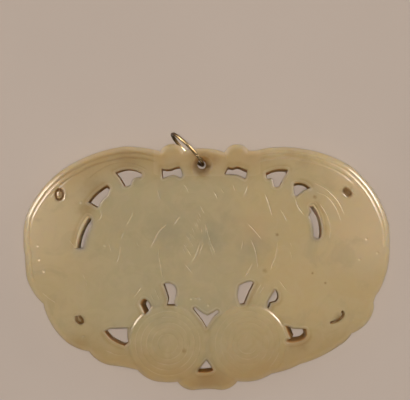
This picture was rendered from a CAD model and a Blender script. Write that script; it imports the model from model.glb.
"""Openwork jade pendant plaque and its wire ring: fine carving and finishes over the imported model.

The plaque lies on its back on a pale floor, and the camera looks straight down on it.
"""
import math

import bmesh
import bpy
import numpy as np
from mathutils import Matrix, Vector, noise
from mathutils.geometry import delaunay_2d_cdt


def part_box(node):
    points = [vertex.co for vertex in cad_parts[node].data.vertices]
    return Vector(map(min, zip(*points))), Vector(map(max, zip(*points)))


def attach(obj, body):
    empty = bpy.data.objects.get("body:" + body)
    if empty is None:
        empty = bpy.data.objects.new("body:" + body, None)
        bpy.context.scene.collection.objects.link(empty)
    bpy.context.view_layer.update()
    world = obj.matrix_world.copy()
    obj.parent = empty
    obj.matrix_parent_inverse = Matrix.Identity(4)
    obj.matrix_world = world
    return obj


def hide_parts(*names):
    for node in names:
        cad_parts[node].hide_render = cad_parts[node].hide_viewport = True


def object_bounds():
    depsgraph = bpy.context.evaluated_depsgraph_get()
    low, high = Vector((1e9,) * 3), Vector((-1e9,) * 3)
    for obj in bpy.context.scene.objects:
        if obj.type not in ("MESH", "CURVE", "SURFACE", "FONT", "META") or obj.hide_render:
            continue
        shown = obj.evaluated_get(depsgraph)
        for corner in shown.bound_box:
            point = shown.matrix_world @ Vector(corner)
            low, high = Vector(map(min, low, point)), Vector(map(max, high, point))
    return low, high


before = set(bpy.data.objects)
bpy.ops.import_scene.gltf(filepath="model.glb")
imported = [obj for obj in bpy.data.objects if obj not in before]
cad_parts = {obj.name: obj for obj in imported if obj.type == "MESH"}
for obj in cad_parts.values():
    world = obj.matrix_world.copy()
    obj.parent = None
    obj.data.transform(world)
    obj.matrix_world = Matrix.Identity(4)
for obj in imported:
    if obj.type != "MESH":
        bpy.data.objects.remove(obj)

MM = 0.001
cad_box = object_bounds()

# Plaque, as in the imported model
THICKNESS = 6.2 * MM            # from the underside to the top of the dome
RIM_LEVEL = 3.5 * MM            # middle of the rim over the underside
RIM_THICKNESS = 1.7 * MM        # where the rim's rounding ends
EDGE_THICKNESS = 1.0 * MM       # flat left at the rim's very edge
RIM_ROUNDING = 0.85 * MM        # width of the rim's rounding
DOME_REACH = 10.0 * MM          # how far in from the rim the face and the back curve
OPENING_ROUNDING = 0.3 * MM     # width of the rounding at the edge of each opening
OPENING_DROP = 0.12 * MM        # depth of that rounding
HOLE_RADIUS = 0.8 * MM
HOLE_FROM_EDGE = 2.65 * MM      # from the crown's edge to the hole's centre
LIP_THICKNESS = 1.3 * MM        # jade left at the hole's edge, between the two dishes
DISH_SLOPE = 1.0                # rise of both dishes over their run
ROUNDEL_STEP = 0.2 * MM         # how far the roundels stand over the wings
ROUNDEL_BEVEL = 0.3 * MM
RIM_GROOVE_INSET = 1.0 * MM
WING_LINE_INSET = 1.85 * MM     # second line along the rim of both wings' upper sides
GROOVE_DEPTH = 0.14 * MM
GROOVE_HALF_WIDTH = 0.25 * MM

# Ring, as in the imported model
RING_OUTER_DIAMETER = 7.95 * MM
WIRE_DIAMETER = 0.55 * MM
RING_SPLIT = 0.12 * MM
RING_CLEARANCE = 0.32 * MM
RING_HEADING = 134.5
RING_LEAN = 8.0
RING_SPLIT_AT = 118.0

# Finer carving and surface
STROKE_DEPTH = 0.06 * MM
STROKE_HALF_WIDTH = 0.12 * MM
ROUNDEL_GROOVE_DEPTH = 0.06 * MM
STROKE_TAPER = 0.7 * MM         # over which a stroke's two ends run out
LINE_FADE = 1.5                 # drawing steps over which the ends of the lines along the rim run out
HAIR_DEPTH = 0.05 * MM
HAIR_HALF_WIDTH = 0.11 * MM
EYE_STEEPNESS = 1.8             # how steep the eyes' walls are
DOT_RADIUS = 0.3 * MM
DOT_DEPTH = 0.12 * MM
SWELL = 0.035 * MM              # unevenness of the hand-polished face
SWELL_LENGTH = 4.5 * MM
WALL_SWELL = 0.05 * MM          # unevenness of the sawn walls
WALL_SWELL_LENGTH = 1.2 * MM
WALL_INWARD = 9.0               # the walls take the colour of the jade this many millimetres from the rim
WALL_ROWS = 10
WALL_CURVE = 2.2                # how much steeper the walls get on their way down
SLOT_WALL_CURVE = 5.5           # the same in the two slots, whose outer walls are cut as a wide bevel
MEETING_REACH = 5.0 * MM        # where the roundels' bevels get softer, either side of the middle
EDGE_SHADE = 0.55 * MM          # reach of the brown shade at the openings' outer sides
JADE_DEPTH = 4.0 * MM           # how far light goes into the jade

FIT = 0.9995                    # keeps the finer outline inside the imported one

# Spacing of the fine mesh
RIM_SPACING = 0.28 * MM
OPENING_SPACING = 0.22 * MM
LINE_SPACING = 0.2 * MM
FACE_SPACING = 0.3 * MM
BACK_SPACING = 0.7 * MM
ROW_GAP = 0.09 * MM             # rows come no nearer to each other
EYE_GAP = 0.04 * MM
RING_SEGMENTS = 160
WIRE_SIDES = 20
# Rows of points, as shares of the width that each follows
RIM_ROWS = (0.06, 0.15, 0.28, 0.42, 0.58, 0.78, 1.0)
OPENING_ROWS = (0.12, 0.35, 0.7, 1.1)
LINE_ROWS = (0.0, 0.45, -0.45, 0.95, -0.95, 1.4, -1.4)
EYE_ROWS = (1.14, 1.0, 0.86, 0.72, 0.58, 0.44, 0.22)
DOT_ROWS = (0.01, 0.4, 0.8, 1.1)
BACK_RIM_ROWS = (0.06, 0.2, 0.45, 0.9, 1.5)
BACK_OPENING_ROWS = (0.15, 0.45, 1.0)
DISH_ROWS = np.linspace(0.15, 1.4, 7) * MM        # from the hole's edge outwards
BACK_DISH_ROWS = np.linspace(0.2, 1.4, 5) * MM

# Camera, floor and lights
PHOTO_WIDTH = 410
PHOTO_CENTRE = (205, 200)       # in the photograph's pixels
DRAWING_ORIGIN = (207, 267.5)   # the drawing's origin in the photograph's pixels
PIXELS_PER_STEP = 5.87
CAMERA_DISTANCE = 400.0 * MM
SENSOR_WIDTH = 36.0             # millimetres, as the camera counts it

# Outline, clockwise from the left foot of the left crown bump. Each corner is x, y and the rise of the arc
# that leads to it over its chord. A positive rise bulges outwards.
OUTLINE = (
    # crown: left bump, saddle over the hanging hole, right bump
    (-3.8, 19.9, 1.2), (3.0, 19.6, 0.55), (7.1, 19.9, 1.25),
    # right wing: shoulder and side
    (9.6, 20.2, -0.1), (16.9, 20.1, 0.35), (24.4, 17.3, 0.4), (31.1, 6.7, 1.15), (31.1, 2.1, 0.05),
    (29.3, -4.1, 0.35),
    # right cloud and tail
    (28.4, -6.0, -0.15), (28.3, -7.6, 0.1), (24.7, -11.2, 0.6), (22.7, -13.2, 0.2), (15.8, -16.5, 0.35),
    (11.0, -18.1, 0.2),
    # right roundel, foot, left roundel
    (5.2, -19.4, 0.55), (2.5, -20.9, 0.35), (-2.3, -20.9, -0.2), (-5.0, -19.5, 0.4), (-8.0, -19.5, 0.1),
    (-11.8, -17.5, 0.45),
    # left tail and cloud
    (-16.4, -16.7, -0.1), (-20.1, -14.3, 0.45), (-24.3, -12.4, 0.35), (-27.9, -6.2, 0.55),
    # left wing: side and shoulder
    (-30.8, -1.4, 0.45), (-31.0, 2.1, 0.05), (-31.3, 4.7, 0.1), (-30.8, 8.9, 0.15), (-24.4, 16.8, 0.7),
    (-14.0, 20.6, 0.65), (-8.0, 19.8, 0.2),
)

# Openings sawn through the plaque, drawn as the outline is.
OPENINGS = {
    "left fan": ((-11.1, 16.0, 0.65), (-11.3, 15.3, 0.15), (-12.5, 15.1, -0.15), (-12.9, 14.1, -0.1),
                 (-14.1, 13.8, 0.1), (-15.6, 16.1, -0.1)),
    "left band": ((-17.1, 14.0, 0.25), (-16.5, 13.5, 0.15), (-16.9, 12.3, 0.0), (-18.4, 10.4, -0.15),
                  (-18.9, 10.3, 0.1), (-20.2, 11.1, 0.0)),
    "left slot": ((-20.4, 8.8, 0.45), (-19.7, 8.3, 0.2), (-19.7, 7.4, 0.0), (-21.0, 3.5, -0.15),
                  (-22.3, 3.4, 0.1)),
    "left bow": ((-6.1, 16.75, -0.1), (-4.7, 17.1, 0.1), (-4.2, 15.7, 0.1), (-4.6, 15.3, 0.1),
                 (-5.9, 15.75, -0.1), (-7.5, 15.2, 0.0), (-7.7, 16.8, 0.1)),
    "right bow": ((3.6, 17.15, 0.05), (4.5, 17.0, 0.0), (5.4, 17.2, 0.1), (6.8, 16.6, 0.0),
                  (6.4, 15.1, 0.1), (5.0, 15.8, -0.1), (3.0, 15.9, 0.0)),
    "right fan": ((13.7, 16.7, 0.35), (13.6, 16.1, 0.1), (12.7, 14.6, 0.0), (12.0, 13.7, 0.15),
                  (11.3, 13.9, 0.1), (11.0, 15.2, -0.1), (10.2, 15.1, 0.0), (10.0, 16.1, 0.1)),
    "right band": ((15.8, 14.45, 0.1), (17.5, 13.5, 0.2), (16.3, 13.1, 0.0), (15.3, 12.2, 0.0),
                   (14.8, 12.5, 0.1), (14.7, 14.2, 0.0)),
    "right slot": ((18.2, 10.75, 0.15), (19.5, 5.8, 0.5), (18.8, 5.0, 0.2), (18.1, 5.5, 0.1),
                   (17.3, 8.9, -0.25), (17.7, 9.8, -0.1), (17.4, 10.4, 0.0)),
    "left leaf": ((-16.2, -10.35, 0.1), (-13.5, -10.3, 0.0), (-13.35, -12.6, -0.1), (-14.1, -13.3, 0.1),
                  (-16.2, -12.3, 0.1), (-17.4, -10.9, 0.1)),
    "left drop": ((-10.9, -5.3, 0.1), (-10.3, -5.4, 0.05), (-9.6, -6.6, 0.1), (-9.9, -7.3, 0.1),
                  (-10.6, -7.9, 0.05), (-11.4, -6.2, 0.0)),
    "left comma": ((-6.5, -2.6, 0.1), (-5.2, -4.1, 0.4), (-5.6, -5.6, 0.1), (-5.45, -6.4, 0.0),
                   (-6.85, -6.4, 0.0), (-6.6, -5.3, -0.05), (-7.4, -2.8, -0.05)),
    "middle fork": ((0.05, -8.1, -0.1), (1.6, -7.2, -0.05), (1.9, -7.7, 0.2), (0.6, -9.0, -0.1),
                    (-0.15, -10.2, 0.0), (-0.7, -9.2, 0.0), (-2.3, -7.1, 0.0), (-2.0, -6.7, 0.15)),
    "foot triangle": ((-0.1, -15.7, 0.0), (1.05, -17.4, 0.0), (0.5, -17.85, 0.1), (-1.4, -17.95, 0.05),
                      (-1.5, -17.5, 0.1)),
    "right comma": ((7.4, -2.3, 0.1), (7.95, -2.7, 0.1), (7.2, -4.2, 0.0), (6.4, -6.1, 0.0),
                    (5.6, -6.2, 0.1), (5.2, -4.9, 0.05), (5.5, -3.0, 0.1)),
    "right drop": ((11.6, -3.7, 0.0), (12.1, -4.8, 0.1), (11.6, -5.8, 0.15), (10.8, -6.0, 0.0),
                   (10.5, -6.8, 0.0), (10.2, -6.7, 0.05), (10.3, -5.8, 0.0)),
    "right leaf": ((14.3, -10.3, 0.1), (16.8, -10.4, 0.0), (17.0, -11.6, 0.1), (15.6, -12.6, 0.15),
                   (13.6, -12.75, 0.1), (13.5, -12.3, 0.1), (14.2, -12.1, 0.0), (13.3, -9.9, 0.1)),
}

# Where each opening's edge on the back lies from its edge on the face: x, y, and the share it is narrower by.
BACK_EDGES = {
    "left fan": (0.15, -0.1, 0.05), "left band": (0.0, -0.2, 0.15), "left slot": (0.55, -0.7, 0.0),
    "left bow": (0.13, -0.25, 0.0), "right bow": (0.0, -0.4, 0.0), "right fan": (0.05, -0.3, 0.12),
    "right band": (0.1, -0.35, 0.08), "right slot": (-0.25, -0.7, 0.0), "left leaf": (0.2, 0.3, 0.0),
    "left drop": (0.8, -0.2, 0.15), "left comma": (0.1, 0.0, 0.0), "middle fork": (0.1, -0.15, 0.0),
    "foot triangle": (0.0, 0.55, 0.0), "right comma": (-0.08, -0.05, 0.0), "right drop": (-0.04, -0.06, 0.0),
    "right leaf": (0.35, 0.2, 0.42), "hanging hole": (-0.15, -0.1, 0.0),
}

# Eyes of the wings and clouds, cut with a tube drill but not through: the smooth line that the drill's edge
# left, and the cut's half width and depth.
EYES = (
    (((-24.65, 12.95), (-25.1, 13.3), (-25.6, 13.1), (-25.8, 12.5), (-25.65, 11.85), (-25.15, 11.55),
      (-24.7, 11.8), (-24.5, 12.4), (-24.65, 12.95)), 0.27, 0.5),
    (((23.6, 13.1), (24.15, 12.55)), 0.7, 0.7),
    (((-22.2, -8.45), (-22.15, -9.05), (-21.65, -9.4), (-21.15, -9.3), (-21.3, -8.75), (-21.6, -8.4)),
     0.32, 0.7),
    (((21.15, -9.35), (21.9, -9.15), (22.55, -8.8), (23.05, -8.3), (23.2, -7.85), (23.05, -7.55)),
     0.3, 0.7),
)
HOLE_X = -0.85
SADDLE_TOP = 20.25

# The two roundels: centre x, y and radius, and the radii of the grooves on them.
ROUNDELS = ((-6.65, -12.9, 6.7), (6.9, -12.9, 6.7))
ROUNDEL_GROOVES = (5.5, 4.55, 3.6, 2.65, 1.7)

# The lines that follow the rim: inset, and the spans it is carved in, each from x, to x, and above y.
RIM_LINES = (
    (RIM_GROOVE_INSET, ((-40.0, -8.8, -2.0), (9.2, 40.0, 4.0))),
    (WING_LINE_INSET, ((-30.0, -9.0, 12.5), (8.8, 24.5, 13.5))),
)

# Bands along the wings, and the boldest strokes of the body, each a smooth line through points.
BANDS = (
    ((-20.2, 15.1), (-18.1, 16.7), (-15.2, 17.8), (-12.3, 17.6), (-10.2, 16.6)),
    ((18.3, 14.4), (20.3, 13.3), (22.2, 11.4), (23.4, 9.0)),
    ((18.5, 12.9), (20.4, 12.1), (21.9, 10.2), (22.8, 7.9)),
    ((19.2, 10.9), (20.3, 9.1), (20.9, 7.0), (20.8, 5.0)),
)
STROKES = (
    # left wing
    ((-12.5, 9.4), (-13.0, 8.4), (-13.7, 7.2)),
    ((-14.7, 3.8), (-14.9, 2.2), (-15.4, 0.8)),
    ((-6.7, 7.5), (-8.0, 6.4), (-8.8, 5.1), (-9.5, 3.5)),
    ((-4.5, 8.9), (-5.1, 8.1), (-5.7, 7.2)),
    ((-18.2, 10.1), (-17.9, 8.9), (-18.7, 7.8)),
    ((-23.4, 4.8), (-22.8, 3.9), (-22.2, 2.9)),
    ((-8.2, 3.3), (-8.0, 0.9), (-7.5, -1.7)),
    ((-28.2, -4.1), (-27.0, -5.2), (-25.5, -6.1)),
    ((-11.1, -3.2), (-11.8, -4.2), (-12.5, -5.1)),
    # crown
    ((-8.3, 13.1), (-8.2, 12.4), (-7.9, 11.6)),
    ((-4.0, 14.2), (-3.5, 13.6), (-3.1, 12.8)),
    ((1.1, 13.0), (1.5, 12.4), (1.8, 11.6)),
    ((6.9, 14.0), (6.6, 13.2), (6.2, 12.1)),
    # right wing
    ((9.9, 12.5), (10.4, 11.2), (10.7, 10.1), (11.1, 8.7)),
    ((12.5, 9.9), (13.1, 8.9), (13.6, 7.7)),
    ((15.0, 11.8), (15.5, 10.3), (16.5, 9.0)),
    ((6.9, 7.5), (8.2, 6.2), (9.3, 4.8)),
    ((12.1, 4.4), (11.9, 3.2), (11.6, 2.0), (10.9, -0.2)),
    ((7.5, 4.8), (8.3, 2.6), (8.7, -0.2)),
    ((7.8, 0.9), (7.2, -0.2), (6.4, -1.4)),
    ((12.3, -2.2), (12.9, -3.0), (13.6, -3.9)),
    # leaf in the middle
    ((-4.0, 4.1), (-3.3, 3.1), (-2.6, 1.9)),
    ((-3.5, 5.5), (-2.9, 4.6), (-2.3, 3.6)),
    ((-1.9, 7.9), (-1.6, 7.1), (-1.3, 6.3)),
    ((-1.2, 10.7), (-0.8, 9.9), (-0.4, 9.2)),
    ((-0.9, 4.8), (-1.6, 3.0), (-2.5, 1.2)),
    ((-0.3, 7.5), (0.5, 4.7), (1.5, 2.2)),
    ((-3.7, 0.6), (-3.1, -0.1), (-2.5, -0.9)),
)
# Shallow hairlines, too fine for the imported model
HAIRS = (
    ((-14.1, 6.2), (-14.4, 5.4), (-14.6, 4.7)),
    ((-11.9, 4.6), (-11.8, 4.0), (-11.3, 3.5)),
    ((2.4, 13.4), (2.7, 13.0), (2.9, 12.7)),
    ((4.4, 14.2), (4.6, 13.6), (4.8, 13.0)),
    ((14.1, 4.4), (14.3, 3.9), (14.5, 3.4)),
    ((14.0, 3.0), (14.3, 2.2), (14.5, 1.4)),
    ((6.1, 4.7), (6.0, 3.9), (5.8, 3.0)),
    ((7.7, -5.2), (8.5, -3.9), (9.4, -2.5)),
    ((8.3, -5.4), (9.1, -4.1), (9.9, -2.9)),
    ((-2.7, 6.0), (-2.4, 5.4), (-2.0, 4.9)),
    ((-1.7, 9.1), (-1.4, 8.5), (-1.0, 7.8)),
    ((-0.6, 4.4), (-1.0, 3.2), (-1.5, 2.0)),
    ((0.2, 4.7), (0.6, 3.3), (1.0, 2.0)),
    ((-0.9, 7.1), (-0.9, 6.4), (-0.9, 5.7)),
    ((-0.2, 7.1), (-0.2, 6.4), (-0.2, 5.7)),
    ((-8.9, -3.5), (-8.5, -4.5), (-8.0, -5.5)),
    ((-9.6, -4.4), (-9.3, -5.0), (-9.0, -5.6)),
    ((-16.7, 4.3), (-16.5, 3.5), (-16.2, 2.6)),
    ((-4.0, 20.0), (-4.1, 19.6), (-4.0, 19.2)),
    ((3.1, 19.7), (3.2, 19.0), (3.4, 18.3)),
    ((-17.4, -14.0), (-15.5, -14.8), (-13.5, -14.9)),
    ((-21.2, -1.0), (-20.6, -2.2), (-20.3, -3.5)),
)
# The same up the left side of the leaf in the middle: the lowest and highest start, and how many
VEINS = ((-4.2, 3.5), (-1.1, 10.3), 9)
# Small drilled dots of the clouds along both sides
DOTS = (
    (-28.9, 3.8), (-28.6, 1.4), (-27.8, -0.6), (-17.4, 3.7), (-21.5, 11.0), (-2.7, -5.3), (-1.9, -5.2),
    (-1.2, -5.3), (0.2, -6.4), (-21.0, -11.7), (27.1, 4.9), (25.9, 1.4), (29.0, 2.5),
)


# Colours of the jade
GREENISH = (0.52, 0.488, 0.325, 1)
WARM = (0.605, 0.525, 0.31, 1)
LOW_TAN = (0.485, 0.42, 0.245, 1)
RIM_TAN = (0.50, 0.39, 0.20, 1)
PALE = (0.80, 0.71, 0.52, 1)
LIGHT_CLOUD = (0.64, 0.585, 0.40, 1)
DARK_CLOUD = (0.42, 0.40, 0.26, 1)
EDGE_BROWN = (0.40, 0.28, 0.12, 1)
WALL_BROWN = (0.50, 0.31, 0.11, 1)
SLOT_TAN = (0.84, 0.74, 0.52, 1)
EYE_BROWN = (0.26, 0.15, 0.05, 1)
LINE_BROWN = (0.33, 0.24, 0.12, 1)
RING_PALE = (0.80, 0.74, 0.54, 1)
STROKE_PALE = (0.88, 0.82, 0.64, 1)
BROWN = (0.30, 0.20, 0.09, 1)
GREY = (0.36, 0.36, 0.27, 1)
PINK = (0.62, 0.45, 0.32, 1)
HOLE_BROWN = (0.27, 0.165, 0.06, 1)
# Colours of the wire and the floor
BRASS = (0.66, 0.55, 0.34, 1)
TARNISH = (0.36, 0.27, 0.13, 1)
WIRE_SHADE = (0.085, 0.05, 0.02, 1)
FLOOR_TONES = ((0.595, 0.575, 0.56, 1), (0.615, 0.595, 0.58, 1))
FLOOR_RADIUS = 1.2
# Lights and room
LIGHT_COLOUR = (1.0, 0.83, 0.70)
ROOM_COLOUR = (1.0, 0.84, 0.72, 1)
ROOM_STRENGTH = 0.11

# Soft stains and specks inside the jade: centre x, y, radius, strength and colour.
STAINS = (
    # clouds in the middle
    (0.9, 5.0, 2.6, 0.5, GREY), (-6.5, 6.5, 4.0, 0.35, GREY), (7.5, 3.0, 2.8, 0.35, GREY),
    (8.0, 6.5, 3.0, 0.22, PINK),
    # wings, crown and foot
    (14.5, 19.6, 1.4, 0.3, BROWN), (16.5, 18.6, 1.8, 0.15, BROWN), (-13.5, 18.0, 3.5, 0.28, BROWN),
    (-19.0, 13.5, 2.6, 0.35, BROWN), (-0.85, 17.6, 2.8, 0.75, BROWN), (-0.85, 17.6, 1.6, 0.9, HOLE_BROWN),
    (15.6, -12.6, 2.2, 0.4, BROWN), (-22.0, -13.5, 2.5, 0.3, BROWN), (0.2, -20.0, 3.5, 0.35, BROWN),
    (-20.6, 10.0, 1.7, 0.45, BROWN),
    # specks
    (11.9, 5.6, 0.35, 0.7, BROWN), (18.3, 12.0, 0.4, 0.6, BROWN), (17.9, -0.9, 0.25, 0.7, BROWN),
    (20.1, -2.6, 0.25, 0.7, BROWN), (-3.9, -14.1, 0.45, 0.55, BROWN), (9.8, -0.5, 0.5, 0.4, BROWN),
    # eyes
    (-25.1, 12.4, 1.2, 0.85, BROWN), (23.9, 12.8, 1.1, 0.6, BROWN), (-21.7, -8.9, 1.1, 0.65, BROWN),
    (22.4, -8.5, 1.0, 0.45, BROWN),
)


def arc(start, end, rise, spacing):
    """Points after start up to end, on the arc that rises by rise to the left of the way."""
    chord = math.dist(start, end)
    middle = ((start[0] + end[0]) / 2, (start[1] + end[1]) / 2)
    left = (-(end[1] - start[1]) / chord, (end[0] - start[0]) / chord)
    if abs(rise) < 0.01 * chord:
        count = max(1, round(chord / spacing))
        return [tuple(a + (b - a) * k / count for a, b in zip(start, end)) for k in range(1, count + 1)]
    half_angle = 2 * math.atan(2 * rise / chord)
    radius = chord / (2 * math.sin(half_angle))
    centre = tuple(m + n * (rise - radius) for m, n in zip(middle, left))
    count = max(2, round(2 * radius * half_angle / spacing))
    first = math.atan2(start[1] - centre[1], start[0] - centre[0])
    angles = [first - 2 * half_angle * k / count for k in range(1, count + 1)]
    return [(centre[0] + abs(radius) * math.cos(t), centre[1] + abs(radius) * math.sin(t)) for t in angles]


def closed_loop(corners, spacing):
    """A drawn closed shape as an array of points in drawing steps, clockwise."""
    at = corners[-1][:2]
    points = []
    for x, y, rise in corners:
        points += arc(at, (x, y), rise, spacing)
        at = (x, y)
    return np.array(points)


def frame_fit():
    """Metres to a drawing step, and where the drawing's origin lies in the frame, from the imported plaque."""
    low, high = (np.array(corner[:2]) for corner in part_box("jade_plaque"))
    drawn = closed_loop(OUTLINE, 0.3)
    step = min((high - low) / np.ptp(drawn, axis=0)) * FIT
    middle = (low + high) / 2
    return step, middle - (drawn.min(axis=0) + drawn.max(axis=0)) / 2 * step


STEP, ORIGIN = frame_fit()


def placed(points):
    """Drawn points in the frame."""
    return np.array(points) * STEP + ORIGIN


def drawn_loop(corners, spacing):
    return placed(closed_loop(corners, spacing / STEP))


def smooth_line(points, spacing=LINE_SPACING):
    """A smooth open line through a few drawn points, in the frame."""
    knots = placed(points)
    padded = np.vstack([2 * knots[0] - knots[1], knots, 2 * knots[-1] - knots[-2]])
    line = [knots[0]]
    for k in range(len(knots) - 1):
        before, start, end, after = padded[k:k + 4]
        count = max(1, round(float(np.linalg.norm(end - start)) / spacing))
        for t in np.arange(1, count + 1) / count:
            line.append(0.5 * (2 * start + (end - before) * t
                               + (2 * before - 5 * start + 4 * end - after) * t ** 2
                               + (3 * start - before - 3 * end + after) * t ** 3))
    return np.array(line)


def hole_centre():
    return placed((HOLE_X, SADDLE_TOP)) - np.array([0, HOLE_FROM_EDGE])


def ring_radius():
    return (RING_OUTER_DIAMETER - WIRE_DIAMETER) / 2


def ring_heading():
    return np.array([math.cos(math.radians(RING_HEADING)), math.sin(math.radians(RING_HEADING))])


def ring_centre():
    play = max(0.0, HOLE_RADIUS - WIRE_DIAMETER / 2 - RING_CLEARANCE)
    return hole_centre() + ring_heading() * (ring_radius() - play)


def segment_distance(points, starts, ends):
    """Each point's distance to the nearest of the segments, and how far along them that is, 0 to 1."""
    along = ends - starts
    squared = (along ** 2).sum(axis=1)
    nearest, share_along = np.empty(len(points)), np.empty(len(points))
    for first in range(0, len(points), 2000):
        gap = points[first:first + 2000, None, :] - starts
        share = np.clip((gap * along).sum(axis=2) / squared, 0, 1)
        gap = gap - share[..., None] * along
        reach = (gap ** 2).sum(axis=2)
        best = reach.argmin(axis=1)
        rows = np.arange(len(best))
        nearest[first:first + 2000] = np.sqrt(reach[rows, best])
        share_along[first:first + 2000] = (best + share[rows, best]) / len(starts)
    return nearest, share_along


def loop_distance(points, loops):
    starts = np.concatenate(loops)
    ends = np.concatenate([np.roll(loop, -1, axis=0) for loop in loops])
    return segment_distance(points, starts, ends)[0]


def inside(points, loop):
    """Which points lie inside a closed loop, by counting the edges to their right."""
    low, high = loop.min(axis=0), loop.max(axis=0)
    near = ((points >= low) & (points <= high)).all(axis=1)
    some = points[near]
    crossings = np.zeros(len(some), dtype=int)
    for (ax, ay), (bx, by) in zip(loop, np.roll(loop, -1, axis=0)):
        spans = (ay > some[:, 1]) != (by > some[:, 1])
        if ay != by:
            crossings += spans & (some[:, 0] < ax + (some[:, 1] - ay) * (bx - ax) / (by - ay))
    result = np.zeros(len(points), dtype=bool)
    result[near] = crossings % 2 == 1
    return result


def soft_distance(points, rim):
    """Distance to the rim that stays smooth where two sides of the rim are equally near."""
    weights = np.linalg.norm(np.roll(rim, -1, axis=0) - np.roll(rim, 1, axis=0), axis=1) / 2
    pull = np.zeros(len(points))
    for first in range(0, len(points), 2000):
        gap = points[first:first + 2000, None, :] - rim
        pull[first:first + 2000] = (weights / ((gap ** 2).sum(axis=2) + 1e-12) ** 2).sum(axis=1)
    return (math.pi / 2 / pull) ** (1 / 3)


def dome(share):
    return 1 - (1 - np.clip(share, 0, 1)) ** 2


def ease(share):
    share = np.clip(share, 0, 1)
    return share * share * (3 - 2 * share)


def swell(points, length, seed):
    """Smooth noise from -1 to 1 over the points, with hollows about length apart."""
    return np.array([noise.noise(Vector((x / length, y / length, seed))) for x, y in points])


def inset_row(rim, inset):
    """Points at a fixed distance inside the rim, and which of them no notch of the rim brings nearer."""
    ahead, behind = np.roll(rim, -1, axis=0), np.roll(rim, 1, axis=0)
    way = ahead - behind
    way /= np.linalg.norm(way, axis=1)[:, None]
    row = rim + np.stack([way[:, 1], -way[:, 0]], axis=1) * inset
    return row, loop_distance(row, [rim]) > 0.93 * inset


def beside(line, offset):
    """A line moved sideways."""
    way = np.gradient(line, axis=0)
    way /= np.linalg.norm(way, axis=1)[:, None]
    return line + np.stack([-way[:, 1], way[:, 0]], axis=1) * offset


def circle_row(centre, radius, spacing):
    count = max(8, round(2 * math.pi * radius / spacing))
    angles = 2 * math.pi * np.arange(count) / count
    return np.stack([np.cos(angles), np.sin(angles)], axis=1) * radius + np.array(centre)


def row_around(line, reach):
    """Points all the way around an open line, at a fixed distance from it."""
    caps = []
    for end, before in ((line[-1], line[-2]), (line[0], line[1])):
        turn = math.atan2(*(end - before)[::-1])
        angles = turn + np.radians((60, 30, 0, -30, -60))
        caps.append(end + np.stack([np.cos(angles), np.sin(angles)], axis=1) * reach)
    left, right = beside(line, reach), beside(line, -reach)[::-1]
    return np.vstack([left, caps[0], right, caps[1], left[:1]])


def opening_loops():
    """The edge of each opening on the face, by name."""
    loops = {name: drawn_loop(corners, OPENING_SPACING) for name, corners in OPENINGS.items()}
    loops["hanging hole"] = circle_row(hole_centre(), HOLE_RADIUS, OPENING_SPACING)[::-1]
    return loops


def back_loop(name, loop):
    """The edge of the same opening on the back."""
    x, y, narrower = BACK_EDGES[name]
    middle = loop.mean(axis=0)
    return middle + (loop - middle) * (1 - narrower) + np.array([x, y]) * STEP


def in_spans(points, spans):
    """How much of a rim line is carved at each point, running out at its ends."""
    x, y = ((points - ORIGIN) / STEP).T
    share = np.zeros(len(points))
    for low, high, floor in spans:
        share = np.maximum(share, ease(np.minimum.reduce([x - low, high - x, y - floor]) / LINE_FADE + 0.5))
    return share


def leaf_veins():
    """Short slanting lines, one over the other."""
    low, high, count = VEINS
    starts = np.linspace(low, high, count)
    return [((x, y), (x + 0.3, y - 0.5), (x + 0.55, y - 1.1)) for x, y in starts]


def carved_lines():
    """Every line on the face with its half width and depth."""
    bold = [(smooth_line(points), STROKE_HALF_WIDTH, STROKE_DEPTH) for points in STROKES]
    fine = [(smooth_line(points), HAIR_HALF_WIDTH, HAIR_DEPTH) for points in [*HAIRS, *leaf_veins()]]
    return bold + fine


def band_lines():
    """The bands along the wings, as the lines above."""
    return [(smooth_line(points), STROKE_HALF_WIDTH, HAIR_DEPTH) for points in BANDS]


def eye_lines():
    """The line of each drilled eye with its half width and depth, in metres."""
    return [(smooth_line(points), half_width * STEP, depth * STEP) for points, half_width, depth in EYES]


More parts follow.
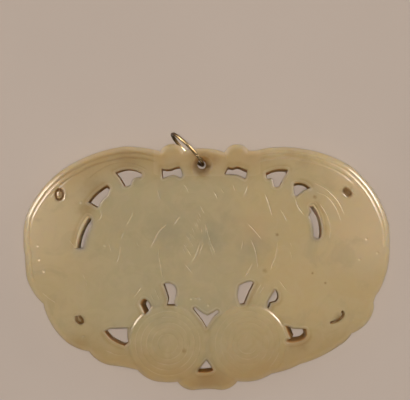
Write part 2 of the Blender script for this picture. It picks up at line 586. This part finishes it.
def carving(points, rim_distance):
    """How deep the carving cuts the face at each point, and the shares of strokes, long lines and eyes."""
    cut, stroke, line_share, eye = np.zeros((4, len(points)))

    def carve(chosen, distance, half_width, depth, kind):
        share = ease(1 - distance / half_width)
        cut[chosen] = np.maximum(cut[chosen], depth * share)
        kind[chosen] = np.maximum(kind[chosen], share * depth / GROOVE_DEPTH)

    def around(line, half_width):
        low, high = line.min(axis=0) - half_width, line.max(axis=0) + half_width
        return ((points > low) & (points < high)).all(axis=1)

    everywhere = np.ones(len(points), dtype=bool)
    for inset, spans in RIM_LINES:
        depth = GROOVE_DEPTH * in_spans(points, spans)
        carve(everywhere, np.abs(rim_distance - inset), GROOVE_HALF_WIDTH, depth, line_share)
    for x, y, radius in ROUNDELS:
        reach = np.linalg.norm(points - placed((x, y)), axis=1)
        for groove in ROUNDEL_GROOVES:
            beyond = np.abs(reach - groove * STEP)
            carve(everywhere, beyond, STROKE_HALF_WIDTH, ROUNDEL_GROOVE_DEPTH, line_share)
    for lines, kind in ((carved_lines(), stroke), (band_lines(), line_share)):
        for line, half_width, depth in lines:
            near = around(line, half_width)
            if near.any():
                distance, along = segment_distance(points[near], line[:-1], line[1:])
                length = np.linalg.norm(np.diff(line, axis=0), axis=1).sum()
                taper = ease(np.minimum(along, 1 - along) * length / STROKE_TAPER + 0.25)
                carve(near, distance, half_width * (0.5 + 0.5 * taper), depth * taper, kind)
    for x, y in DOTS:
        reach = np.linalg.norm(points - placed((x, y)), axis=1)
        carve(everywhere, reach, DOT_RADIUS, DOT_DEPTH, stroke)
    for line, half_width, depth in eye_lines():
        near = around(line, half_width)
        reach = segment_distance(points[near], line[:-1], line[1:])[0]
        share = ease(EYE_STEEPNESS * (1 - reach / half_width))
        cut[near] = np.maximum(cut[near], depth * share)
        eye[near] = np.maximum(eye[near], share)
    return cut, stroke, line_share, eye


def outer_shade(points, openings):
    """How near each point lies to an opening on that opening's outer side, 0 to 1."""
    outward = points - placed((0, 0))
    outward /= np.linalg.norm(outward, axis=1)[:, None] + 1e-9
    behind = points - outward * EDGE_SHADE
    in_opening = np.zeros(len(points), dtype=bool)
    for loop in openings:
        in_opening |= inside(behind, loop)
    return np.where(in_opening, 1, ease(1 - loop_distance(behind, openings) / EDGE_SHADE))


def dish_limit(points, lip_half):
    """Half thickness that the dish around the hanging hole leaves."""
    reach = np.linalg.norm(points - hole_centre(), axis=1)
    return lip_half + DISH_SLOPE * np.maximum(0, reach - HOLE_RADIUS)


def shell_half(points, rim, openings, full_half):
    """Half thickness of the plain lens-shaped plaque over or under the rim's level, and both distances."""
    to_rim, to_opening = loop_distance(points, [rim]), loop_distance(points, openings)
    far_in = np.clip((to_rim - 0.5 * MM) / MM, 0, 1)
    bent = to_rim + (soft_distance(points, rim) - to_rim) * far_in
    edge_half, rim_half = EDGE_THICKNESS / 2, RIM_THICKNESS / 2
    half = edge_half + (rim_half - edge_half) * dome(to_rim / RIM_ROUNDING)
    half += (full_half - rim_half) * dome(bent / DOME_REACH)
    half -= OPENING_DROP * (1 - dome(to_opening / OPENING_ROUNDING))
    return np.minimum(half, dish_limit(points, LIP_THICKNESS / 2)), to_rim, to_opening


def face_shape(points, rim, openings):
    """Heights of the face, and what its finish needs to know about each point."""
    half, to_rim, to_opening = shell_half(points, rim, openings, THICKNESS - ROUNDEL_STEP - RIM_LEVEL)
    cut, stroke, line_share, eye = carving(points, to_rim)
    height = RIM_LEVEL + half - cut
    for x, y, radius in ROUNDELS:
        inner = radius * STEP - np.linalg.norm(points - placed((x, y)), axis=1)
        bevel = ROUNDEL_BEVEL * (1 + 4 * ease(1 - np.abs(points[:, 0] - ORIGIN[0]) / MEETING_REACH))
        height += ROUNDEL_STEP * ease(inner / bevel) * np.clip(to_rim / MM, 0, 1)
    calm = ease(to_rim / (2 * MM)) * ease(to_opening / MM)
    height -= SWELL * calm * (0.5 + 0.5 * swell(points, SWELL_LENGTH, 3.1))
    facts = {"stroke": stroke, "line": line_share, "eye": eye, "rim_distance": to_rim / MM,
             "opening_distance": to_opening / MM, "shade": outer_shade(points, openings)}
    return height, facts


def back_shape(points, rim, openings):
    """Heights of the back, and its distances to the rim and the openings."""
    half, to_rim, to_opening = shell_half(points, rim, openings, RIM_LEVEL)
    facts = {"rim_distance": to_rim / MM, "opening_distance": to_opening / MM}
    return np.maximum(0.0, RIM_LEVEL - half), facts


def thinned(rows, fixed):
    """The rows' points that keep their row's gap from all points kept before them.

    Each row is its points, which of them may stand, and the gap.
    """
    cell = FACE_SPACING
    cells = {}
    for point in fixed:
        cells.setdefault((int(point[0] // cell), int(point[1] // cell)), []).append(tuple(point))
    kept = []
    for points, stands, gap in rows:
        reach = range(-math.ceil(gap / cell), math.ceil(gap / cell) + 1)
        for x, y in points[stands]:
            i, j = int(x // cell), int(y // cell)
            if not any((x - a) ** 2 + (y - b) ** 2 < gap * gap
                       for di in reach for dj in reach for a, b in cells.get((i + di, j + dj), ())):
                cells.setdefault((i, j), []).append((x, y))
                kept.append((x, y))
    return np.array(kept)


def grid(spacing):
    """A triangular grid of points over the whole plaque."""
    low, high = (np.array(corner[:2]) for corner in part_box("jade_plaque"))
    rows = np.arange(low[1], high[1], spacing * math.sqrt(3) / 2)
    columns = np.arange(low[0], high[0], spacing)
    return np.array([(x + (k % 2) * spacing / 2, y) for k, y in enumerate(rows) for x in columns])


def on_jade(points, rim, openings):
    """Which points lie inside the rim and in no opening."""
    free = inside(points, rim)
    for loop in openings:
        free &= ~inside(points, loop)
    return free


def edge_rows(rim, openings, rim_insets, opening_insets):
    """Rows of points that follow the rim and every opening."""
    rows = []
    for inset in rim_insets:
        row, stands = inset_row(rim, inset)
        rows.append((row, stands & on_jade(row, rim, openings), min(ROW_GAP, 0.7 * inset)))
    for inset in opening_insets:
        for loop in openings:
            row = beside(np.vstack([loop[-1:], loop, loop[:1]]), inset)[1:-1]
            rows.append((row, on_jade(row, rim, openings), min(ROW_GAP, 0.7 * inset)))
    return rows


def face_points(rim, openings):
    """Points of the face between its edges: its edges' rounding, the carved lines, and a field between."""
    across = np.array(LINE_ROWS)
    rim_insets = [share * RIM_ROUNDING for share in RIM_ROWS]
    rim_insets += list(RIM_GROOVE_INSET + across * GROOVE_HALF_WIDTH)
    rim_insets += list(WING_LINE_INSET + across * GROOVE_HALF_WIDTH)
    rows = edge_rows(rim, openings, rim_insets, [share * OPENING_ROUNDING for share in OPENING_ROWS])

    def add(points, gap):
        rows.append((points, on_jade(points, rim, openings), gap))

    for line, half_width, depth in eye_lines():
        for share in EYE_ROWS:
            add(row_around(line, share * half_width), EYE_GAP)
        add(line, EYE_GAP)
    for x, y, radius in ROUNDELS:
        centre = placed((x, y))
        for reach in np.linspace(radius * STEP - ROUNDEL_BEVEL, radius * STEP, 4):
            add(circle_row(centre, reach, LINE_SPACING), ROW_GAP)
        for groove in ROUNDEL_GROOVES:
            for side in across * STROKE_HALF_WIDTH:
                add(circle_row(centre, groove * STEP + side, LINE_SPACING), 0.4 * STROKE_HALF_WIDTH)
    for reach in HOLE_RADIUS + DISH_ROWS:
        add(circle_row(hole_centre(), reach, LINE_SPACING), ROW_GAP)
    for line, half_width, depth in carved_lines() + band_lines():
        for side in across * half_width:
            add(beside(line, side), 0.4 * half_width)
    for dot in DOTS:
        for share in DOT_ROWS:
            add(circle_row(placed(dot), share * DOT_RADIUS, DOT_RADIUS / 2), ROW_GAP)
    add(grid(FACE_SPACING), 0.6 * FACE_SPACING)
    return thinned(rows, np.concatenate([rim] + openings))


def back_points(rim, openings):
    """Points of the back between its edges."""
    rows = edge_rows(rim, openings, [share * RIM_ROUNDING for share in BACK_RIM_ROWS],
                     [share * OPENING_ROUNDING for share in BACK_OPENING_ROWS])
    for reach in HOLE_RADIUS + BACK_DISH_ROWS:
        row = circle_row(hole_centre(), reach, LINE_SPACING)
        rows.append((row, on_jade(row, rim, openings), ROW_GAP))
    field = grid(BACK_SPACING)
    rows.append((field, on_jade(field, rim, openings), 0.6 * BACK_SPACING))
    return thinned(rows, np.concatenate([rim] + openings))


def triangulate(loops, free):
    """Triangles over the jade between the loops.

    Returns all points, the triangles, and where each of the loops' own points stands among the points.
    """
    edges, first = [], 0
    for loop in loops:
        edges += [(first + k, first + (k + 1) % len(loop)) for k in range(len(loop))]
        first += len(loop)
    given = np.concatenate(loops + [free]) / MM
    found = delaunay_2d_cdt([Vector(p) for p in given], edges, [], 1, 1e-6)
    points = np.array([tuple(p) for p in found[0]]) * MM
    place = {source: k for k, sources in enumerate(found[3]) for source in sources}
    faces = np.array(found[2])
    faces = faces[on_jade(points[faces].mean(axis=1), loops[0], loops[1:])]
    return points, faces, [place[k] for k in range(first)]


def wall_rows(front, rear, top_z, under_z, curve, seed):
    """Points down a sawn wall, a little uneven and steeper below, as rows of x, y and z."""
    way = np.roll(front, -1, axis=0) - np.roll(front, 1, axis=0)
    way /= np.linalg.norm(way, axis=1)[:, None]
    outwards = np.stack([-way[:, 1], way[:, 0]], axis=1)
    rows = []
    for k in range(1, WALL_ROWS):
        t = k / WALL_ROWS
        flat = front + (rear - front) * t
        uneven = swell(flat, WALL_SWELL_LENGTH, seed + 0.7 * k)
        flat = flat + outwards * (WALL_SWELL * (0.5 + 0.5 * uneven))[:, None]
        rows.append(np.column_stack([flat, top_z + (under_z - top_z) * t ** curve]))
    return rows


def plaque_mesh():
    """The plaque as one closed body, with what its finish needs to know about each point."""
    rim = drawn_loop(OUTLINE, RIM_SPACING)
    named = opening_loops()
    front, rear = list(named.values()), [back_loop(name, loop) for name, loop in named.items()]
    top, top_faces, top_place = triangulate([rim] + front, face_points(rim, front))
    under, under_faces, under_place = triangulate([rim] + rear, back_points(rim, rear))
    top_z, top_facts = face_shape(top, rim, front)
    under_z, under_facts = back_shape(under, rim, rear)

    points = [np.column_stack([top, top_z]), np.column_stack([under, under_z])]
    faces = [tuple(face) for face in top_faces]
    faces += [tuple(len(top) + v for v in reversed(face)) for face in under_faces.tolist()]
    count, first = len(top) + len(under), 0
    for number, (name, loop, back) in enumerate(zip(["rim", *named], [rim] + front, [rim] + rear)):
        upper = [top_place[first + k] for k in range(len(loop))]
        lower = [len(top) + under_place[first + k] for k in range(len(loop))]
        rows = [upper]
        if number:
            low_z = under_z[[under_place[first + k] for k in range(len(loop))]]
            curve = SLOT_WALL_CURVE if name.endswith("slot") else WALL_CURVE
            for row in wall_rows(loop, back, top_z[upper], low_z, curve, number * 1.37):
                points.append(row)
                rows.append(list(range(count, count + len(row))))
                count += len(row)
        rows.append(lower)
        for one, other in zip(rows, rows[1:]):
            for k in range(len(loop)):
                n = (k + 1) % len(loop)
                faces.append((one[k], one[n], other[n], other[k]))
        first += len(loop)
    points = np.concatenate(points)
    walls = len(points) - len(top) - len(under)
    plain = np.zeros(len(under))
    wall_facts = {fact: np.zeros(walls) for fact in top_facts} | {"rim_distance": np.full(walls, WALL_INWARD)}
    facts = {fact: np.concatenate([values, under_facts.get(fact, plain), wall_facts[fact]])
             for fact, values in top_facts.items()}
    facts["wall"] = np.concatenate([np.zeros(len(top) + len(under)), np.ones(walls)])
    return points, faces, facts


def add_piece(name, points, faces, facts, finish, node):
    """A piece of the pendant from its points and faces, outward facing and smooth, bound to its node."""
    data = bpy.data.meshes.new(name)
    data.from_pydata([tuple(p) for p in points], [], [tuple(int(v) for v in face) for face in faces])
    mesh = bmesh.new()
    mesh.from_mesh(data)
    bmesh.ops.delete(mesh, geom=[v for v in mesh.verts if not v.link_faces], context="VERTS")
    bmesh.ops.recalc_face_normals(mesh, faces=mesh.faces)
    mesh.to_mesh(data)
    mesh.free()
    for fact, values in facts.items():
        attribute = data.attributes.new(fact, "FLOAT", "POINT")
        attribute.data.foreach_set("value", np.asarray(values, dtype=np.float32)[:len(data.vertices)])
    data.shade_smooth()
    data.materials.append(finish)
    thing = bpy.data.objects.new(name, data)
    bpy.context.scene.collection.objects.link(thing)
    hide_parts(node)
    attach(thing, "root")
    return thing


def ring_mesh():
    """The bent wire with its two cut ends, slightly uneven as pulled wire is."""
    radius, heading, middle = ring_radius(), ring_heading(), ring_centre()
    across = np.array([-heading[1], heading[0]])
    height, lean = max(RING_OUTER_DIAMETER / 2, RIM_LEVEL), math.radians(RING_LEAN)
    gap_angle = RING_SPLIT / radius
    first = math.radians(RING_SPLIT_AT) + gap_angle / 2
    points, faces = [], []
    for k in range(RING_SEGMENTS + 1):
        around = first + (2 * math.pi - gap_angle) * k / RING_SEGMENTS
        end = min(k, RING_SEGMENTS - k)
        wire = WIRE_DIAMETER / 2 * (0.97 - 0.012 * math.sin(7 * around)) * (0.86 if end == 0 else 1)
        for j in range(WIRE_SIDES):
            turn = 2 * math.pi * j / WIRE_SIDES
            reach = radius + wire * math.cos(turn)
            aside, up = wire * math.sin(turn), reach * math.sin(around)
            flat = middle + heading * reach * math.cos(around)
            flat = flat + across * (aside * math.cos(lean) - up * math.sin(lean))
            points.append((*flat, height + up * math.cos(lean) + aside * math.sin(lean)))
    for k in range(RING_SEGMENTS):
        for j in range(WIRE_SIDES):
            n = (j + 1) % WIRE_SIDES
            faces.append((k * WIRE_SIDES + j, k * WIRE_SIDES + n, (k + 1) * WIRE_SIDES + n,
                          (k + 1) * WIRE_SIDES + j))
    faces.append(tuple(range(WIRE_SIDES)))
    faces.append(tuple(RING_SEGMENTS * WIRE_SIDES + j for j in reversed(range(WIRE_SIDES))))
    return points, faces


class Finish:
    """A material built node by node; values are plain numbers, colours or other nodes' outputs."""

    def __init__(self, name):
        self.material = bpy.data.materials.new(name)
        self.material.use_nodes = True
        self.nodes = self.material.node_tree.nodes
        self.links = self.material.node_tree.links
        self.shader = self.nodes["Principled BSDF"]

    def feed(self, socket, value):
        if isinstance(value, bpy.types.NodeSocket):
            self.links.new(value, socket)
        else:
            socket.default_value = value

    def set(self, **values):
        for name, value in values.items():
            self.feed(self.shader.inputs[name.replace("_", " ")], value)

    def attribute(self, name):
        node = self.nodes.new("ShaderNodeAttribute")
        node.attribute_name = name
        return node.outputs["Fac"]

    def place(self):
        """Object coordinates in millimetres."""
        node = self.nodes.new("ShaderNodeMapping")
        node.inputs["Scale"].default_value = (1 / MM,) * 3
        self.links.new(self.nodes.new("ShaderNodeTexCoord").outputs["Object"], node.inputs["Vector"])
        return node.outputs["Vector"]

    def plan(self):
        """The same without the height."""
        node = self.nodes.new("ShaderNodeVectorMath")
        node.operation = "MULTIPLY"
        self.links.new(self.place(), node.inputs[0])
        node.inputs[1].default_value = (1, 1, 0)
        return node.outputs["Vector"]

    def axis(self, name):
        """How far a place lies from the drawing's origin along one axis, in millimetres."""
        node = self.nodes.new("ShaderNodeSeparateXYZ")
        self.links.new(self.place(), node.inputs[0])
        return self.math("SUBTRACT", node.outputs[name], float(ORIGIN["XY".index(name)] / MM))

    def patch(self, x, y, radius, share):
        """A soft uneven spot around a drawn point, strongest in its middle."""
        node = self.nodes.new("ShaderNodeVectorMath")
        node.operation = "DISTANCE"
        self.feed(node.inputs[0], self.plan())
        node.inputs[1].default_value = (*(placed((x, y)) / MM), 0)
        uneven = self.math("MULTIPLY_ADD", self.noise(1.5 / radius, 3.0), 1.2 * radius)
        uneven.node.inputs[2].default_value = -0.6 * radius
        reach = self.plus(node.outputs["Value"], uneven)
        return self.spread(reach, 0.0, 1.3 * radius, share, 0.0)

    def noise(self, scale, detail=3.0, roughness=0.5, distortion=0.0):
        node = self.nodes.new("ShaderNodeTexNoise")
        self.feed(node.inputs["Vector"], self.place())
        self.feed(node.inputs["Scale"], scale)
        self.feed(node.inputs["Detail"], detail)
        self.feed(node.inputs["Roughness"], roughness)
        self.feed(node.inputs["Distortion"], distortion)
        return node.outputs["Fac"]

    def spread(self, value, low, high, to_low=0.0, to_high=1.0):
        """The value's range from low to high, eased and moved to another range."""
        node = self.nodes.new("ShaderNodeMapRange")
        node.interpolation_type = "SMOOTHSTEP"
        for socket, number in zip(node.inputs, (value, low, high, to_low, to_high)):
            self.feed(socket, number)
        return node.outputs["Result"]

    def math(self, operation, one, other):
        node = self.nodes.new("ShaderNodeMath")
        node.operation = operation
        self.feed(node.inputs[0], one)
        self.feed(node.inputs[1], other)
        return node.outputs[0]

    def times(self, one, other):
        return self.math("MULTIPLY", one, other)

    def plus(self, one, other):
        return self.math("ADD", one, other)

    def larger(self, one, other):
        return self.math("MAXIMUM", one, other)

    def mix(self, factor, one, other):
        node = self.nodes.new("ShaderNodeMix")
        node.data_type = "RGBA"
        self.feed(node.inputs["Factor"], factor)
        self.feed(node.inputs[6], one)
        self.feed(node.inputs[7], other)
        return node.outputs[2]

    def bump(self, height, strength, distance):
        node = self.nodes.new("ShaderNodeBump")
        self.feed(node.inputs["Height"], height)
        self.feed(node.inputs["Strength"], strength)
        self.feed(node.inputs["Distance"], distance)
        return node.outputs["Normal"]


def jade_body(f, x, y):
    """Colour in the stone: greenish clouds in the middle, warmer wings, a tan crown and foot."""
    rim_distance = f.attribute("rim_distance")
    sides = f.larger(f.spread(x, -1.0, 13.0), f.spread(x, -14.0, -26.0, 0.0, 0.6))
    sides = f.times(sides, f.spread(f.noise(0.09, 3.0, 0.5, 0.8), 0.3, 0.65, 0.6, 1.0))
    colour = f.mix(sides, GREENISH, WARM)
    colour = f.mix(f.spread(y, -6.0, -14.0, 0.0, 0.7), colour, LOW_TAN)
    tips = f.larger(f.spread(x, 14.0, 29.0), f.spread(x, -18.0, -29.0, 0.0, 0.75))
    tips = f.times(tips, f.spread(y, -4.0, 4.0))
    colour = f.mix(f.times(tips, 0.5), colour, PALE)
    colour = f.mix(f.spread(f.noise(0.3, 4.0, 0.55, 1.2), 0.35, 0.68, 0.0, 0.3), colour, LIGHT_CLOUD)
    colour = f.mix(f.spread(f.noise(0.19, 4.0, 0.6, 0.8), 0.5, 0.7, 0.0, 0.3), colour, DARK_CLOUD)
    crown = f.times(f.spread(y, 9.0, 17.0, 0.0, 0.72), f.spread(x, 6.0, 14.0, 1.0, 0.0))
    ends = f.larger(crown, f.spread(y, -9.0, -19.0, 0.0, 0.85))
    colour = f.mix(f.times(f.spread(rim_distance, 0.5, 7.0, 1.0, 0.0), ends), colour, RIM_TAN)
    for place_x, place_y, radius, share, tone in STAINS:
        colour = f.mix(f.patch(place_x, place_y, radius, share), colour, tone)
    thin = f.times(f.spread(rim_distance, 0.0, 1.0, 1.0, 0.0), f.spread(y, -2.0, 9.0, 0.25, 0.7))
    return f.mix(thin, colour, PALE)


def jade_cuts(f, x, y, glint, colour):
    """The colour with its dirt and light at the openings, their walls, the eyes and all carved lines."""
    edge = f.spread(f.attribute("opening_distance"), 0.0, 0.5, 0.25, 0.0)
    edge = f.larger(edge, f.times(f.attribute("shade"), 0.45))
    edge = f.times(edge, f.spread(f.noise(0.4, 3.0), 0.35, 0.65, 0.5, 1.0))
    colour = f.mix(edge, colour, EDGE_BROWN)
    slots = f.larger(f.patch(-20.8, 6.0, 5.0, 1.0), f.patch(18.4, 7.8, 4.6, 1.0))
    colour = f.mix(f.times(f.attribute("wall"), 0.95), colour, f.mix(slots, WALL_BROWN, SLOT_TAN))
    drilled = f.times(f.attribute("eye"), f.spread(f.noise(1.1, 2.0), 0.35, 0.6, 0.55, 0.95))
    colour = f.mix(drilled, colour, EYE_BROWN)
    line = f.attribute("line")
    dirt = f.times(f.times(line, f.spread(x, 2.0, -10.0, 0.0, 0.22)), f.spread(y, 4.0, 12.0))
    colour = f.mix(dirt, colour, LINE_BROWN)
    rings = f.times(f.times(line, f.spread(y, -3.0, -6.0)), f.spread(f.noise(0.25, 2.0), 0.42, 0.6, 0.0, 0.7))
    colour = f.mix(rings, colour, RING_PALE)
    return f.mix(glint, colour, STROKE_PALE)


def jade_gloss(f, x, y, glint):
    """Roughness of the polish, and how dull the walls, eyes and crown are."""
    rough = f.plus(f.spread(f.noise(0.07, 3.0), 0.3, 0.7, 0.23, 0.26), f.times(glint, 0.3))
    rough = f.plus(rough, f.spread(f.attribute("opening_distance"), 0.0, 0.6, 0.25, 0.0))
    worn = f.times(f.spread(f.attribute("line"), 0.0, 0.25, 0.0, 0.2), f.spread(x, 0.0, 10.0))
    rough = f.plus(rough, f.times(worn, f.spread(y, -2.0, 2.0)))
    crown = f.times(f.spread(y, 14.8, 16.2), f.spread(f.math("ABSOLUTE", x, 0.0), 7.5, 11.0, 1.0, 0.0))
    dull = f.larger(f.attribute("wall"), f.spread(f.attribute("eye"), 0.0, 0.06))
    dull = f.larger(dull, f.times(crown, 0.8))
    return f.larger(rough, f.times(dull, 0.6)), dull


def jade():
    """Pale celadon jade. Places in it are millimetres from the drawing's origin."""
    f = Finish("pale_celadon_jade")
    x, y = f.axis("X"), f.axis("Y")
    glint = f.times(f.attribute("stroke"), f.spread(f.noise(0.8, 3.0), 0.4, 0.65, 0.15, 0.6))
    rough, dull = jade_gloss(f, x, y, glint)
    f.set(Base_Color=jade_cuts(f, x, y, glint, jade_body(f, x, y)), Roughness=rough,
          Specular_IOR_Level=f.spread(dull, 0.0, 1.0, 0.5, 0.12), IOR=1.61, Subsurface_Weight=1.0,
          Subsurface_Scale=JADE_DEPTH, Subsurface_Radius=(1.0, 0.8, 0.5),
          Normal=f.bump(f.noise(5.0, 4.0), 0.12, 0.02 * MM))
    return f.material


def wire_metal():
    """Dull yellowish wire, darker with tarnish in patches and where it turns away."""
    f = Finish("dull_brass_wire")
    tarnish = f.spread(f.noise(1.4, 4.0), 0.38, 0.62)
    colour = f.mix(tarnish, BRASS, TARNISH)
    turned = f.nodes.new("ShaderNodeLayerWeight")
    colour = f.mix(f.spread(turned.outputs["Facing"], 0.2, 0.6), colour, WIRE_SHADE)
    f.set(Base_Color=colour, Metallic=0.85, Roughness=f.spread(tarnish, 0.0, 1.0, 0.26, 0.45),
          Normal=f.bump(f.noise(9.0, 3.0), 0.2, 0.01 * MM))
    return f.material


def floor_paper():
    f = Finish("pale_floor")
    f.set(Base_Color=f.mix(f.spread(f.noise(0.02, 3.0), 0.3, 0.7), *FLOOR_TONES), Roughness=0.75)
    return f.material


def add_floor():
    mesh = bmesh.new()
    bmesh.ops.create_circle(mesh, cap_ends=True, radius=FLOOR_RADIUS, segments=96)
    data = bpy.data.meshes.new("floor")
    mesh.to_mesh(data)
    mesh.free()
    data.materials.append(floor_paper())
    floor = bpy.data.objects.new("floor", data)
    floor.location.z = cad_box[0][2] - 0.02 * MM
    bpy.context.scene.collection.objects.link(floor)


def add_light(name, azimuth, elevation, distance, size, power, diffuse=True, glossy=True):
    """A square soft box that looks at the pendant."""
    light = bpy.data.lights.new(name, "AREA")
    light.shape = "RECTANGLE"
    light.size, light.size_y = size
    light.energy = power
    light.color = LIGHT_COLOUR
    thing = bpy.data.objects.new(name, light)
    a, e = math.radians(azimuth), math.radians(elevation)
    thing.location = Vector((math.cos(a) * math.cos(e), math.sin(a) * math.cos(e), math.sin(e))) * distance
    thing.rotation_euler = (-thing.location).to_track_quat("-Z", "Y").to_euler()
    thing.visible_diffuse = diffuse
    thing.visible_glossy = glossy
    bpy.context.scene.collection.objects.link(thing)


def add_lights():
    add_light("overhead", 90, 88.5, 0.404, (0.03, 0.03), 1.0, glossy=False)
    add_light("left", 152, 28, 0.40, (0.16, 0.24), 2.2, diffuse=False)
    add_light("right", 34, 28, 0.40, (0.16, 0.14), 2.7, diffuse=False)
    world = bpy.data.worlds.new("studio")
    bpy.context.scene.world = world
    world.use_nodes = True
    world.node_tree.nodes["Background"].inputs["Color"].default_value = ROOM_COLOUR
    world.node_tree.nodes["Background"].inputs["Strength"].default_value = ROOM_STRENGTH


def add_camera():
    """Straight over the middle of the photograph's frame, looking down."""
    data = bpy.data.cameras.new("camera")
    camera = bpy.data.objects.new("camera", data)
    bpy.context.scene.collection.objects.link(camera)
    centre = placed(((PHOTO_CENTRE[0] - DRAWING_ORIGIN[0]) / PIXELS_PER_STEP,
                     (DRAWING_ORIGIN[1] - PHOTO_CENTRE[1]) / PIXELS_PER_STEP))
    camera.location = (*centre, RIM_LEVEL + MM + CAMERA_DISTANCE)
    data.sensor_width = SENSOR_WIDTH
    data.lens = SENSOR_WIDTH * CAMERA_DISTANCE / (PHOTO_WIDTH / PIXELS_PER_STEP * STEP)
    data.clip_start, data.clip_end = 0.01, 10
    bpy.context.scene.camera = camera


def build():
    scene = bpy.context.scene
    scene.view_settings.view_transform = "Standard"
    points, faces, facts = plaque_mesh()
    add_piece("carved_jade_plaque", points, faces, facts, jade(), "jade_plaque")
    points, faces = ring_mesh()
    add_piece("hanging_ring", points, faces, {}, wire_metal(), "wire_ring")
    add_floor()
    add_lights()
    add_camera()


build()
